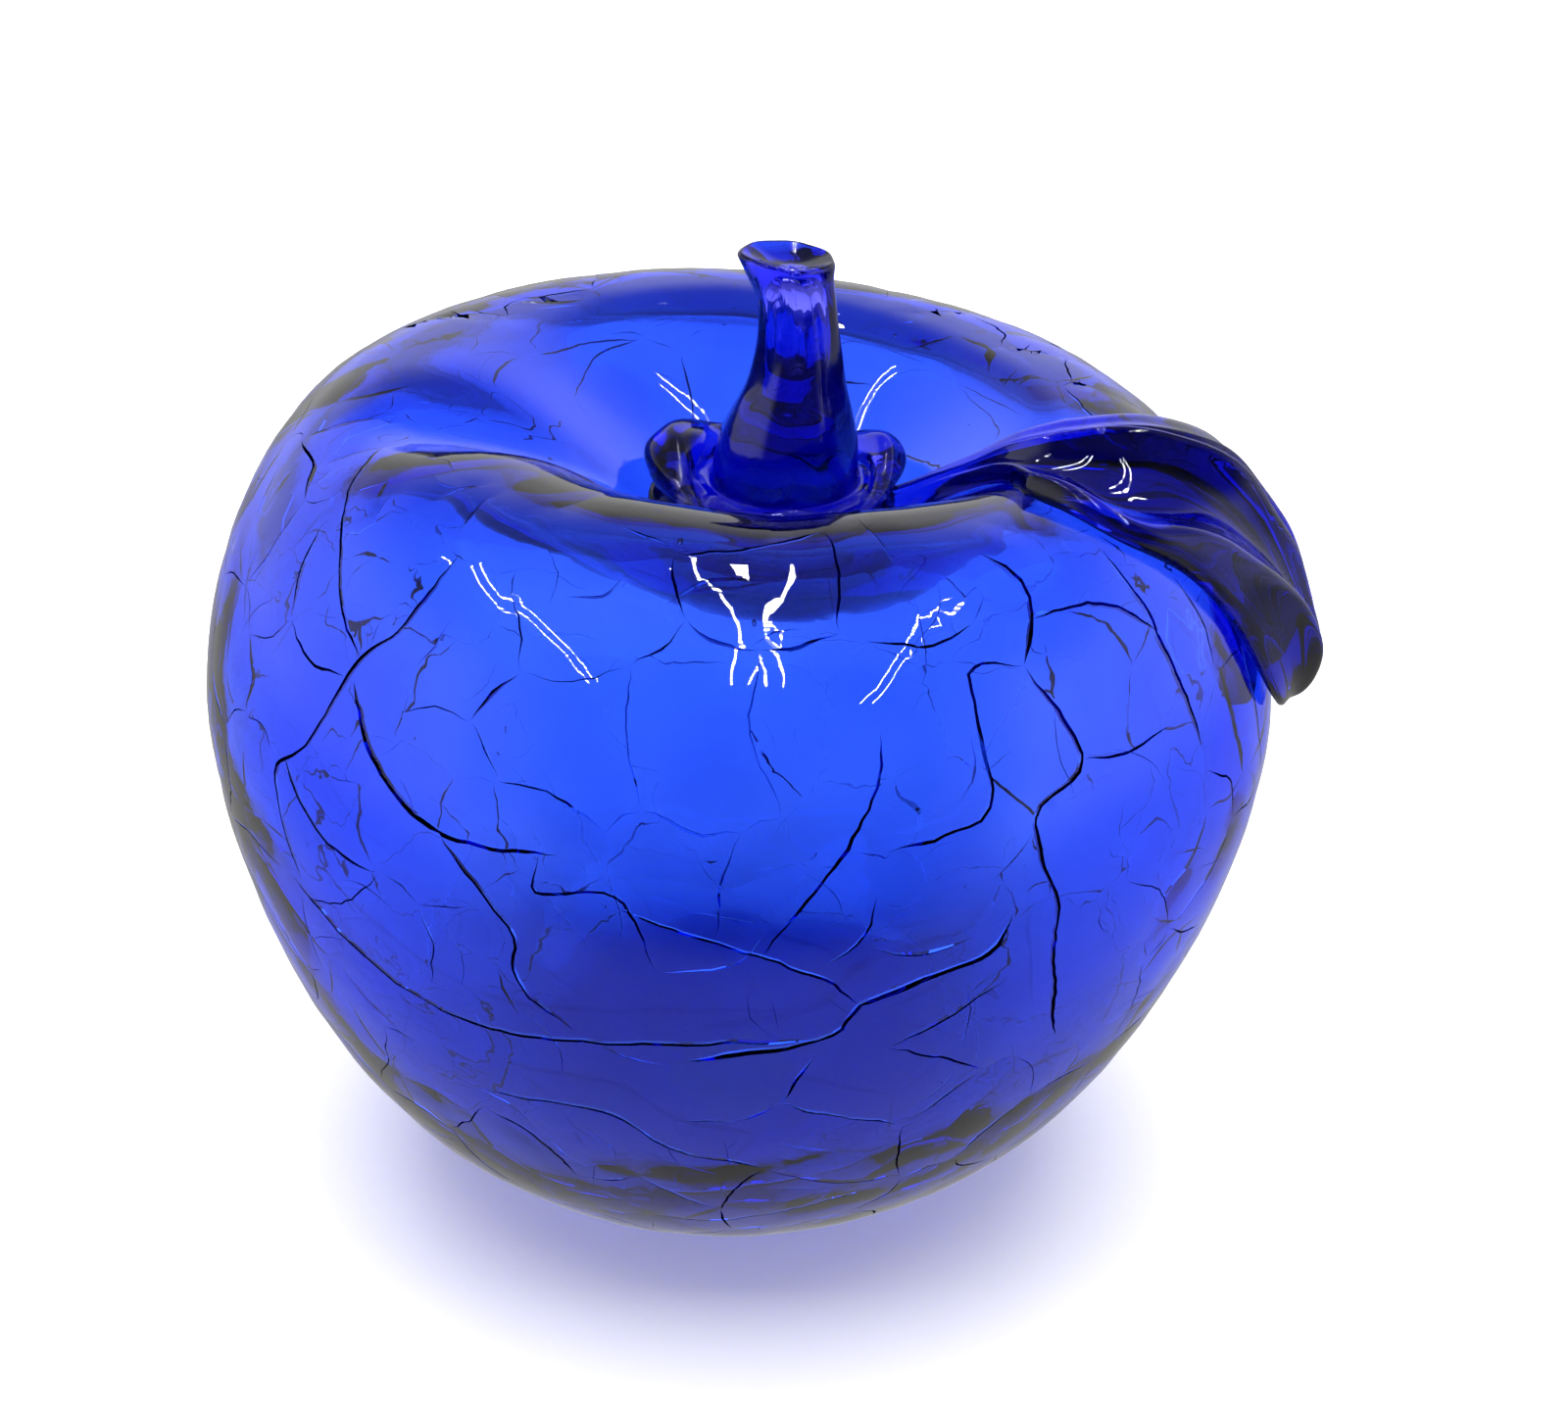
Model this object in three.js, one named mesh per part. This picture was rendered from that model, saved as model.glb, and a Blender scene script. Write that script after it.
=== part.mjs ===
// Hollow crackle-glass apple with a hot-worked stem and leaf. Millimetres, +Z up.
// The flat foot stands on Z = 0 with its centre at the origin, and the leaf trails towards +X.
import * as THREE from 'three';
import { ParametricGeometry } from 'three/addons/geometries/ParametricGeometry.js';

// Driving sizes
const BODY_RADIUS = 55;
const BELT_HEIGHT = 53.4;
const CREST_RADIUS = 31.5;
const CREST_HEIGHT = 84.1;
const DIMPLE_DEPTH = 19;
const FOOT_RADIUS = 19.9;
const SIDE_WALL = 4.2;
const BASE_WALL = 5;
const BASE_FADE = 16;
const NECK_RADIUS = 5;
const FUSED_GAP = 0.3;

// Roundness of the silhouette: powers of the sine and cosine in each quarter arc
const LOWER_OUT = 1.05;
const LOWER_UP = 1.23;
const UPPER_IN = 0.85;
const UPPER_UP = 1.13;

// How the free-blown shape leans and goes out of round towards its top
const LEAN_X = 1.7;
const TILT = -0.044;
const OVAL = -0.021;
const DIMPLE_X = 4.2;
const DIMPLE_Y = 3;

// Soft grooves between the shoulder lobes: azimuth and half-width in degrees, depth in mm.
// A depth below 0 is a swelling.
const GROOVES = [
  { azimuth: -86, halfWidth: 38, depth: -1.4 },
  { azimuth: -88, halfWidth: 13, depth: 0.7 },
  { azimuth: -168, halfWidth: 12, depth: 3.6 },
  { azimuth: -18, halfWidth: 22, depth: 1.6 },
  { azimuth: 62, halfWidth: 24, depth: 1.2 },
  { azimuth: 128, halfWidth: 22, depth: 1.2 },
];
const GROOVE_RADIUS = 27;
const GROOVE_REACH = 11;

// Stem, measured up from the gather it grows out of: height above the foot, radius, sideways bow
const STEM_STATIONS = [
  [73.1, 7.3, 0.3],
  [76, 7.2, 0.3],
  [79.5, 6.9, 0.5],
  [82.2, 6, 1],
  [85, 5, 1.3],
  [88, 4.4, 1.5],
  [91, 4, 1.5],
  [94, 3.9, 1.3],
  [96.2, 4.2, 0.8],
  [97.8, 4.6, 0.5],
];
const STEM_RIM = 1;
const STEM_CUT_TILT = 0.1;

// Gather that closes the blowpipe hole
const GATHER_RADIUS = 12.6;
const GATHER_TOP = 72.5;
const GATHER_EDGE = 0.8;
const PLUG_DRIP = 1.2;

// Ring of glass wound round the stem's root
const WRAP_RADIUS = 9.7;
const WRAP_HEIGHT = 74.9;
const WRAP_TUBE = 1.9;
const WRAP_LOBES = [
  { azimuth: 152, halfWidth: 30, swell: 1.7 },
  { azimuth: 24, halfWidth: 22, swell: 0.7 },
];

// Leaf stations from the wrap to the tip. The meridian runs 2 at the dimple's centre,
// 1 on the crest and 0 on the belt. Widths and heights are millimetres.
const LEAF_STATIONS = [
  { meridian: 1.54, azimuth: -10, halfWidth: 2, thickness: 2.6, lift: 0.5 },
  { meridian: 1.34, azimuth: -14, halfWidth: 3, thickness: 2.8, lift: 0.5 },
  { meridian: 1.13, azimuth: -18, halfWidth: 5.4, thickness: 3.6, lift: 0.5 },
  { meridian: 0.95, azimuth: -19, halfWidth: 9.6, thickness: 4.6, lift: 0.5 },
  { meridian: 0.77, azimuth: -15.5, halfWidth: 13.4, thickness: 5, lift: 0.5 },
  { meridian: 0.6, azimuth: -11, halfWidth: 13.6, thickness: 5.4, lift: 0.8 },
  { meridian: 0.44, azimuth: -10, halfWidth: 12.2, thickness: 5.4, lift: 1.2 },
  { meridian: 0.28, azimuth: -11.5, halfWidth: 8.6, thickness: 5, lift: 1.5 },
  { meridian: 0.13, azimuth: -13, halfWidth: 4.6, thickness: 4.2, lift: 1.8 },
];
const LEAF_RIDGES = 2.5;
const LEAF_RIDGE_DEPTH = 0.5;

const ROUND_SEGMENTS = 42;
const HALF_TURN = Math.PI;
const FULL_TURN = 2 * Math.PI;

// ---------- Body shape ----------

// A point on the outer skin's profile: meridian 0 is the belt, 1 the crest, 2 the dimple's centre
function upperSkin(meridian) {
  if (meridian <= 1) {
    const turn = (meridian * HALF_TURN) / 2;
    const reach = Math.max(Math.cos(turn), 0) ** UPPER_IN;
    const rise = Math.sin(turn) ** UPPER_UP;
    return new THREE.Vector2(
      CREST_RADIUS + (BODY_RADIUS - CREST_RADIUS) * reach,
      BELT_HEIGHT + (CREST_HEIGHT - BELT_HEIGHT) * rise,
    );
  }
  const inward = meridian - 1;
  const drop = (1 - Math.cos(HALF_TURN * inward)) / 2;
  return new THREE.Vector2(CREST_RADIUS * (1 - inward), CREST_HEIGHT - DIMPLE_DEPTH * drop);
}

// Below the belt: 0 is the edge of the foot and 1 the belt
function lowerSkin(share) {
  const turn = ((1 - share) * HALF_TURN) / 2;
  const reach = Math.max(Math.cos(turn), 0) ** LOWER_OUT;
  const rise = 1 - Math.sin(turn) ** LOWER_UP;
  return new THREE.Vector2(
    FOOT_RADIUS + (BODY_RADIUS - FOOT_RADIUS) * reach,
    BELT_HEIGHT * rise,
  );
}

function dimpleFloor(radius) {
  return upperSkin(2 - radius / CREST_RADIUS).y;
}

function outerSkin() {
  const skin = [];
  for (let i = 0; i <= 13; i += 1) {
    skin.push(lowerSkin(i / 13));
  }
  for (let i = 1; i <= 11; i += 1) {
    skin.push(upperSkin(i / 11));
  }
  const neckMeridian = 2 - NECK_RADIUS / CREST_RADIUS;
  for (let i = 1; i <= 8; i += 1) {
    skin.push(upperSkin(1 + ((neckMeridian - 1) * i) / 8));
  }
  return skin;
}

function wallAt(height) {
  return SIDE_WALL + (BASE_WALL - SIDE_WALL) * Math.exp(-((height / BASE_FADE) ** 2));
}

// The skin moved inwards by the thickness of the wall, for the hollow
function innerSkin(skin) {
  return skin.map((point, i) => {
    const before = skin[Math.max(i - 1, 0)];
    const after = skin[Math.min(i + 1, skin.length - 1)];
    const along = after.clone().sub(before).normalize();
    const inward = new THREE.Vector2(-along.y, along.x);
    if (i === 0) {
      inward.set(0, 1);
    }
    if (i === skin.length - 1) {
      inward.set(0, -1);
    }
    return point.clone().addScaledVector(inward, wallAt(point.y));
  });
}

// Carries a point of the round design to its place on the leaning, lobed apple
function toApple(radius, height, azimuth) {
  const lift = Math.max(height / CREST_HEIGHT, 0) ** 1.5;
  const inDimple = height > BELT_HEIGHT ? Math.max(1 - (radius / CREST_RADIUS) ** 2, 0) : 0;
  const oval = 1 + lift * OVAL * Math.sin(2 * azimuth);
  const x = radius * Math.cos(azimuth) * oval + LEAN_X * lift + DIMPLE_X * inDimple;
  const y = radius * Math.sin(azimuth) * oval + DIMPLE_Y * inDimple;
  const near = Math.exp(-(((radius - GROOVE_RADIUS) / GROOVE_REACH) ** 2));
  let groove = 0;
  for (const { azimuth: at, halfWidth, depth } of GROOVES) {
    const away = THREE.MathUtils.euclideanModulo(THREE.MathUtils.radToDeg(azimuth) - at + 180, 360) - 180;
    groove += depth * Math.exp(-((away / halfWidth) ** 2));
  }
  const top = THREE.MathUtils.smoothstep(height, BELT_HEIGHT, CREST_HEIGHT - 8);
  return new THREE.Vector3(x, y, height + TILT * radius * Math.cos(azimuth) * lift - groove * near * top);
}

// Turns a lathed solid's points into the leaning, lobed shape
function shapeLikeApple(geometry) {
  const points = geometry.attributes.position;
  for (let i = 0; i < points.count; i += 1) {
    const radius = Math.hypot(points.getX(i), points.getY(i));
    const azimuth = Math.atan2(points.getY(i), points.getX(i));
    const moved = toApple(radius, points.getZ(i), azimuth);
    points.setXYZ(i, moved.x, moved.y, moved.z);
  }
  geometry.computeVertexNormals();
  return geometry;
}

// LatheGeometry spins about Y, so it is stood up along Z
function lathe(profile, segments) {
  return new THREE.LatheGeometry(profile, segments).rotateX(HALF_TURN / 2);
}

// ---------- Sub-parts ----------

function bodyGeometry() {
  const skin = outerSkin();
  const hollow = innerSkin(skin).reverse();
  const axisBelow = new THREE.Vector2(0, 0);
  const axisInside = new THREE.Vector2(0, BASE_WALL);
  return shapeLikeApple(lathe([axisBelow, ...skin, ...hollow, axisInside], ROUND_SEGMENTS));
}

function gatherGeometry() {
  const plug = NECK_RADIUS - FUSED_GAP;
  const neckTop = dimpleFloor(NECK_RADIUS);
  const plugBottom = neckTop - SIDE_WALL - PLUG_DRIP;
  const profile = [
    new THREE.Vector2(0, plugBottom - PLUG_DRIP),
    new THREE.Vector2(plug * 0.7, plugBottom - PLUG_DRIP / 2),
    new THREE.Vector2(plug, plugBottom + PLUG_DRIP),
    new THREE.Vector2(plug, neckTop + FUSED_GAP),
  ];
  for (let i = 1; i <= 5; i += 1) {
    const radius = plug + ((GATHER_RADIUS - plug) * i) / 5;
    profile.push(new THREE.Vector2(radius, dimpleFloor(radius) + FUSED_GAP));
  }
  profile.push(new THREE.Vector2(GATHER_RADIUS - GATHER_EDGE, GATHER_TOP));
  profile.push(new THREE.Vector2(GATHER_RADIUS / 2, GATHER_TOP));
  profile.push(new THREE.Vector2(0, GATHER_TOP));
  return shapeLikeApple(lathe(profile, 28));
}

// The middle of the dimple, where the stem stands
function stemAxis() {
  return toApple(0, CREST_HEIGHT - DIMPLE_DEPTH, 0);
}

function stemGeometry() {
  const top = STEM_STATIONS.at(-1);
  const profile = [new THREE.Vector2(0, STEM_STATIONS[0][0])];
  for (const [height, radius] of STEM_STATIONS) {
    profile.push(new THREE.Vector2(radius, height));
  }
  profile.push(new THREE.Vector2(top[1] - STEM_RIM / 2, top[0] + STEM_RIM * 0.7));
  profile.push(new THREE.Vector2(top[1] - 2 * STEM_RIM, top[0] + STEM_RIM * 0.8));
  profile.push(new THREE.Vector2(0, top[0] + STEM_RIM / 2));
  const geometry = lathe(profile, 24);
  const bow = new THREE.SplineCurve(STEM_STATIONS.map(([height, , side]) => new THREE.Vector2(height, side)));
  const axis = stemAxis();
  const points = geometry.attributes.position;
  for (let i = 0; i < points.count; i += 1) {
    const height = points.getZ(i);
    const share = (height - STEM_STATIONS[0][0]) / (top[0] - STEM_STATIONS[0][0]);
    const side = bow.getPoint(THREE.MathUtils.clamp(share, 0, 1)).y;
    const x = points.getX(i);
    const cut = THREE.MathUtils.smoothstep(share, 0.8, 1) * STEM_CUT_TILT * x;
    points.setXYZ(i, x + axis.x + side, points.getY(i) + axis.y, height - cut);
  }
  geometry.computeVertexNormals();
  return geometry;
}

function swellAt(azimuthDegrees) {
  let swell = 0;
  for (const { azimuth, halfWidth, swell: size } of WRAP_LOBES) {
    const away = THREE.MathUtils.euclideanModulo(azimuthDegrees - azimuth + 180, 360) - 180;
    swell += size * Math.exp(-((away / halfWidth) ** 2));
  }
  return swell;
}

function wrapGeometry() {
  const axis = stemAxis();
  const around = (u, v, target) => {
    const azimuth = u * FULL_TURN;
    const swell = swellAt(u * 360);
    const tube = WRAP_TUBE + swell * 0.5;
    const radius = WRAP_RADIUS + swell * 0.8 + tube * Math.cos(v * FULL_TURN);
    target.set(
      axis.x + radius * Math.cos(azimuth),
      axis.y + radius * Math.sin(azimuth),
      WRAP_HEIGHT + swell * 0.7 + tube * Math.sin(v * FULL_TURN),
    );
  };
  return new ParametricGeometry(around, 34, 10);
}

function leafStation(share) {
  const place = THREE.MathUtils.clamp(share, 0, 1) * (LEAF_STATIONS.length - 1);
  const first = Math.min(Math.floor(place), LEAF_STATIONS.length - 2);
  const blend = place - first;
  const pick = (offset) => LEAF_STATIONS[THREE.MathUtils.clamp(first + offset, 0, LEAF_STATIONS.length - 1)];
  const station = {};
  for (const key of Object.keys(LEAF_STATIONS[0])) {
    const [a, b, c, d] = [-1, 0, 1, 2].map((offset) => pick(offset)[key]);
    const slopeIn = (c - a) / 2;
    const slopeOut = (d - b) / 2;
    station[key] =
      b +
      slopeIn * blend +
      (3 * (c - b) - 2 * slopeIn - slopeOut) * blend ** 2 +
      (2 * (b - c) + slopeIn + slopeOut) * blend ** 3;
  }
  return station;
}

// A point on the leaf: how far along, how far across in mm, and how high above the glass under it
function onLeaf(station, across, height) {
  const skin = upperSkin(station.meridian);
  const before = upperSkin(Math.max(station.meridian - 0.01, 0));
  const after = upperSkin(station.meridian + 0.01);
  const along = after.sub(before).normalize();
  const azimuth = THREE.MathUtils.degToRad(station.azimuth) + across / skin.x;
  return toApple(skin.x + along.y * height, skin.y - along.x * height, azimuth);
}

// The section runs round the leaf: ridged top first, then the flat underside
function leafGeometry() {
  const topShare = 0.72;
  const surface = (u, v, target) => {
    const end = THREE.MathUtils.clamp(Math.sin(HALF_TURN * u) * 4, 0, 1);
    const station = leafStation(u);
    const onTop = v < topShare;
    const sweep = onTop ? v / topShare : 1 - (v - topShare) / (1 - topShare);
    const across = -Math.cos(HALF_TURN * sweep);
    const dome = Math.sqrt(Math.max(1 - across ** 2, 0));
    const ridge = Math.cos(FULL_TURN * LEAF_RIDGES * (across + 0.12) - 2 * u);
    const blade = 1 - LEAF_RIDGE_DEPTH * (1 - ridge) * 0.5 * (1 - (1 - end) ** 2);
    const edge = 0.35;
    const rise = onTop ? edge + (1 - edge) * dome ** 0.6 * blade : edge * (1 - dome ** 0.6);
    const height = station.lift + station.thickness * (edge + (rise - edge) * end);
    target.copy(onLeaf(station, across * station.halfWidth * end, height));
  };
  return new ParametricGeometry(surface, 26, 30);
}

// ---------- Assembly ----------

function glass(color) {
  return new THREE.MeshStandardMaterial({ color, roughness: 0.05, metalness: 0 });
}

function addPiece(group, name, geometry, material) {
  const mesh = new THREE.Mesh(geometry, material);
  mesh.name = name;
  group.add(mesh);
}

const apple = new THREE.Group();
addPiece(apple, 'apple_body', bodyGeometry(), glass(0x2a46e0));
addPiece(apple, 'stem_gather', gatherGeometry(), glass(0x1c22b0));
addPiece(apple, 'stem', stemGeometry(), glass(0x140c8c));
addPiece(apple, 'leaf_wrap', wrapGeometry(), glass(0x2420a8));
addPiece(apple, 'leaf', leafGeometry(), glass(0x1a128c));

export default apple;
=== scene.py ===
"""Looks for the crackle-glass apple: crackled body, hot-worked stem, wrap and leaf, studio and camera.

Shapes are worked out in millimetres, like the CAD part's, and turned into metres as meshes are made.
"""

import math

import bmesh
import bpy
import numpy as np
from mathutils import Matrix, Vector, geometry, kdtree, noise

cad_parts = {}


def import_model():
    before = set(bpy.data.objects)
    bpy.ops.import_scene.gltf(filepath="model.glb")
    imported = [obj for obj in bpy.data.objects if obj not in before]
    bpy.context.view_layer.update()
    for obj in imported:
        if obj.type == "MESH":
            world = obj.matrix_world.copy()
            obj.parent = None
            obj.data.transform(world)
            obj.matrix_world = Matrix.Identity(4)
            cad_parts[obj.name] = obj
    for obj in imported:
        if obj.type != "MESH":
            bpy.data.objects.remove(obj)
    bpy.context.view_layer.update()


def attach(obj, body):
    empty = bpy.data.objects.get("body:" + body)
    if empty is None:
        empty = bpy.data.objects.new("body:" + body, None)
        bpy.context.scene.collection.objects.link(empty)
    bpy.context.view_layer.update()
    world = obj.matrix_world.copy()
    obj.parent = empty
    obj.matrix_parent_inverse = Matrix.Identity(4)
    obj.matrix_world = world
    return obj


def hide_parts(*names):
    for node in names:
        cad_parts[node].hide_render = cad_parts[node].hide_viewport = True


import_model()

MM = 0.001
WELD = 0.002
SHARP_ANGLE = math.radians(40)

# Body shape, as the CAD part has it
BODY_RADIUS = 55
BELT_HEIGHT = 53.4
CREST_RADIUS = 31.5
CREST_HEIGHT = 84.1
DIMPLE_DEPTH = 19
FOOT_RADIUS = 19.9
SIDE_WALL = 4.2
BASE_WALL = 5
BASE_FADE = 16
LOWER_OUT = 1.05
LOWER_UP = 1.23
UPPER_IN = 0.85
UPPER_UP = 1.13
LEAN_X = 1.7
TILT = -0.044
OVAL = -0.021
DIMPLE_X = 4.2
DIMPLE_Y = 3
# Soft grooves between the shoulder lobes: azimuth and half-width in degrees, depth in mm.
# A depth below 0 is a swelling.
GROOVES = [(-86, 38, -1.4), (-88, 13, 0.7), (-168, 12, 3.6), (-18, 22, 1.6), (62, 24, 1.2), (128, 22, 1.2)]
GROOVE_RADIUS = 27
GROOVE_REACH = 11

# Slow unevenness of hand-blown glass: depth, size in mm and seed of each layer of noise
SKIN_RELIEF = [(0.18, 17, 3), (0.06, 6, 5)]
HOLLOW_RELIEF = [(0.6, 24, 11), (0.2, 9, 13)]

# Crackle. The clearance is between a crack and the nearest point of the even grid, and a fine crack
# is left out where it runs closer than CROWDED to another one.
SEED = 7
CELL = 12.5
KEEP_EDGE = 0.9
MAIN_CLEARANCE = 4
HAIRLINES = 420
HAIRLINE_WIDTH = 0.05
HAIRLINE_LENGTH = (3, 10)
HAIRLINE_DEPTH = (0.3, 0.8)
RING_CRACKS = 36
RING_HEIGHT = (12, 62)
RING_STEP = (5, 11)
RING_WIDTH = 0.08
CELL_WIDTH = 0.09
WIDTH_DOUBLINGS = 1.3
FINE_DEPTH = (0.5, 1.2)
MAIN_DEPTH = 0.6
DEPTH_PER_WIDTH = 2.5
CRACK_STEP = 0.9
SKIN_STEP = 2.0
MAP_RADIUS = 45
CRACK_LOW = 3
CRACK_HIGH = 135
FINE_HIGH = 112
CLEARANCE = 0.5
CROWDED = 0.9
LIP_SINK = 0.1
LIP_REACH = 1.6
SEAM_GAP = 0.4
TAPER_STEPS = 3
SKIN_AROUND = 120
HOLLOW_AROUND = 140

BUBBLES = 34
BUBBLE_SIZE = (0.1, 0.28)
BUBBLE_STRETCH = (1, 2.2)
NEEDLES = 16
NEEDLE_SIZE = (0.05, 0.1)

# The boldest cracks on the front: half-width of the opening in mm, then a route of
# (azimuth in degrees, mm up the skin from the edge of the foot)
MAIN_CRACKS = [
    (0.18, [(-164, 106), (-150, 97), (-142, 91), (-136, 88)]),
    (0.2, [(-130, 101), (-132, 93), (-136, 88), (-140, 79), (-145, 73), (-141, 63)]),
    (0.28, [(-136, 86), (-130, 80), (-121, 76), (-108, 77)]),
    (0.17, [(-121, 76), (-113, 69), (-112, 63), (-106, 58)]),
    (0.17, [(-110, 77), (-110, 73), (-102, 74), (-98, 67)]),
    (0.17, [(-102, 73), (-91, 70), (-83, 67), (-78, 63)]),
    (0.2, [(-143, 63), (-133, 59), (-123, 56), (-110, 56), (-98, 58), (-82, 59)]),
    (0.39, [(-63, 71), (-65, 67), (-70, 66), (-78, 63), (-82, 59), (-95, 56)]),
    (0.18, [(-119, 46), (-104, 47), (-97, 42), (-86, 39)]),
    (0.21, [(-76, 90), (-77, 84), (-82, 77), (-88, 69)]),
    (0.15, [(-77, 75), (-78, 71), (-82, 68)]),
    (0.34, [(-56, 106), (-53, 101), (-58, 94)]),
    (0.22, [(-58, 94), (-65, 94), (-65, 82), (-70, 80), (-76, 79)]),
    (0.23, [(-58, 94), (-54, 84), (-60, 80), (-58, 70), (-57, 61), (-54, 52)]),
    (0.21, [(-55, 98), (-44, 97), (-38, 92)]),
    (0.24, [(-38, 102), (-38, 92), (-36, 79)]),
    (0.18, [(-54, 84), (-48, 83), (-40, 83)]),
]

# Stem above the apron: height, radius, sideways bow
STEM_STATIONS = [
    (74.2, 7.6, 0.3),
    (76.4, 7.35, 0.3),
    (78.6, 7.1, 0.4),
    (80.6, 6.5, 0.7),
    (82.6, 5.8, 1.0),
    (85, 5, 1.3),
    (88, 4.4, 1.5),
    (91, 4, 1.5),
    (94, 3.9, 1.3),
    (96.2, 4.2, 0.8),
    (98, 4.6, 0.5),
]
STEM_CUT_TILT = 0.1
STEM_FLUTES = 7
FLUTE_DEPTH = 0.022
FLUTE_TWIST = 2.4
CUT_DISH = 1.1
CORE_SPAN = (0.52, 0.93)
CORE_SHARE = 0.52

# Apron round the stem's root: folds as height, count round the stem and turn, then a pit in front
APRON_RADIUS = 13.2
APRON_FOLDS = [(0.5, 5, 1), (0.5, 8, -0.6), (0.3, 13, 0)]
APRON_ROLL = 0.9
PIT_AZIMUTH = -86
PIT_WIDTH = 24
PIT_DEPTH = 2.2

# Ring wound round the root: azimuth and half-width in degrees, and how much each lobe adds to
# the tube's radius, its height and its distance from the stem
WRAP_RADIUS = 10.2
WRAP_HEIGHT = 74.3
WRAP_TUBE = 1.0
WRAP_LOBES = [(158, 34, 2.1, 1.0, 1.3), (24, 22, 1.3, 0.7, 1.2)]
WRAP_FRONT = -88
WRAP_FRONT_WIDTH = 62
WRAP_FRONT_SINK = 1.6

# Leaf stations from the wrap to the tip: meridian, azimuth, half-width, thickness, lift
LEAF_STATIONS = [
    (1.68, -4, 1.6, 2.2, 4.0),
    (1.54, -9, 2.1, 2.6, 1.8),
    (1.34, -14, 3.2, 2.8, 0.8),
    (1.13, -18, 5.6, 3.6, 0.5),
    (0.95, -19, 9.6, 4.6, 0.5),
    (0.77, -15.5, 13.4, 5, 0.5),
    (0.6, -11, 13.6, 5.4, 0.8),
    (0.44, -10, 12.2, 5.4, 1.2),
    (0.28, -11.5, 8.6, 5, 1.5),
    (0.13, -13, 4.6, 4.2, 1.8),
]

# Ridges pulled along the leaf: widths of the near and far flanks, then at each station the place
# across the leaf (-1 near edge, 1 far edge) and the height as a share of the thickness
LEAF_RIDGES = [
    (
        (0.3, 0.2),
        (0.3, 0.3, 0.35, 0.6, 0.72, 0.75, 0.78, 0.8, 0.7, 0.4),
        (0.2, 0.2, 0.3, 0.45, 0.55, 0.55, 0.5, 0.45, 0.35, 0.2),
    ),
    (
        (0.12, 0.2),
        (-0.5, -0.5, -0.6, -0.45, -0.05, 0.05, -0.08, 0, 0.1, 0.1),
        (0.3, 0.4, 0.5, 0.65, 0.85, 0.9, 0.8, 0.6, 0.4, 0.2),
    ),
    (
        (0.07, 0.1),
        (0.2, 0.2, 0.2, 0.3, 0.4, 0.38, 0.36, 0.4, 0.4, 0.3),
        (0, 0, 0, 0.1, 0.15, 0.3, 0.4, 0.4, 0.3, 0.1),
    ),
    (
        (0.12, 0.1),
        (-0.8, -0.8, -0.85, -0.9, -0.9, -0.92, -0.95, -1, -1, -1),
        (0.2, 0.2, 0.3, 0.5, 0.6, 0.3, 0, 0, 0, 0),
    ),
    (
        (0.25, 0.22),
        (-0.9, -0.9, -0.9, -0.9, -0.9, -0.8, -0.75, -0.6, -0.25, 0),
        (0, 0, 0, 0, 0.05, 0.3, 0.6, 0.75, 0.7, 0.4),
    ),
]
LEAF_BASE = 0.2

# The underside is sunk into the body, and lifts clear of it towards the tip
LEAF_SINK = -0.6
TIP_LIFT = 0.8

# Pocket in the leaf: place and half-width across, place and half-length along, depth
POCKET = (-0.6, 0.25, 0.53, 0.07, 0.36)


def smoothstep(value, low, high):
    share = np.clip((value - low) / (high - low), 0, 1)
    return share * share * (3 - 2 * share)


# ---------- Body shape ----------


def upper_skin(meridian):
    """(radius, height) on the outer skin: meridian 0 is the belt, 1 the crest, 2 the dimple's centre."""
    meridian = np.asarray(meridian, float)
    turn = np.minimum(meridian, 1) * math.pi / 2
    shoulder_radius = CREST_RADIUS + (BODY_RADIUS - CREST_RADIUS) * np.maximum(np.cos(turn), 0) ** UPPER_IN
    shoulder_height = BELT_HEIGHT + (CREST_HEIGHT - BELT_HEIGHT) * np.sin(turn) ** UPPER_UP
    inward = np.maximum(meridian - 1, 0)
    dimple_height = CREST_HEIGHT - DIMPLE_DEPTH * (1 - np.cos(math.pi * inward)) / 2
    over = meridian > 1
    return (
        np.where(over, CREST_RADIUS * (1 - inward), shoulder_radius),
        np.where(over, dimple_height, shoulder_height),
    )


def lower_skin(share):
    """(radius, height) below the belt: share 0 is the edge of the foot and 1 the belt."""
    turn = (1 - np.asarray(share, float)) * math.pi / 2
    radius = FOOT_RADIUS + (BODY_RADIUS - FOOT_RADIUS) * np.maximum(np.cos(turn), 0) ** LOWER_OUT
    return radius, BELT_HEIGHT * (1 - np.sin(turn) ** LOWER_UP)


def skin_profile():
    """The outer skin as points and inward normals, against the distance up the skin."""
    low_radius, low_height = lower_skin(np.linspace(0, 1, 160))
    high_radius, high_height = upper_skin(np.linspace(0, 2, 320)[1:])
    radius = np.concatenate([low_radius, high_radius])
    height = np.concatenate([low_height, high_height])
    length = np.concatenate([[0], np.cumsum(np.hypot(np.diff(radius), np.diff(height)))])
    along_radius = np.gradient(radius, length)
    along_height = np.gradient(height, length)
    size = np.hypot(along_radius, along_height)
    return length, radius, height, -along_height / size, along_radius / size


LENGTH, RADIUS, HEIGHT, IN_RADIUS, IN_HEIGHT = skin_profile()
SKIN_LENGTH = LENGTH[-1]


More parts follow.
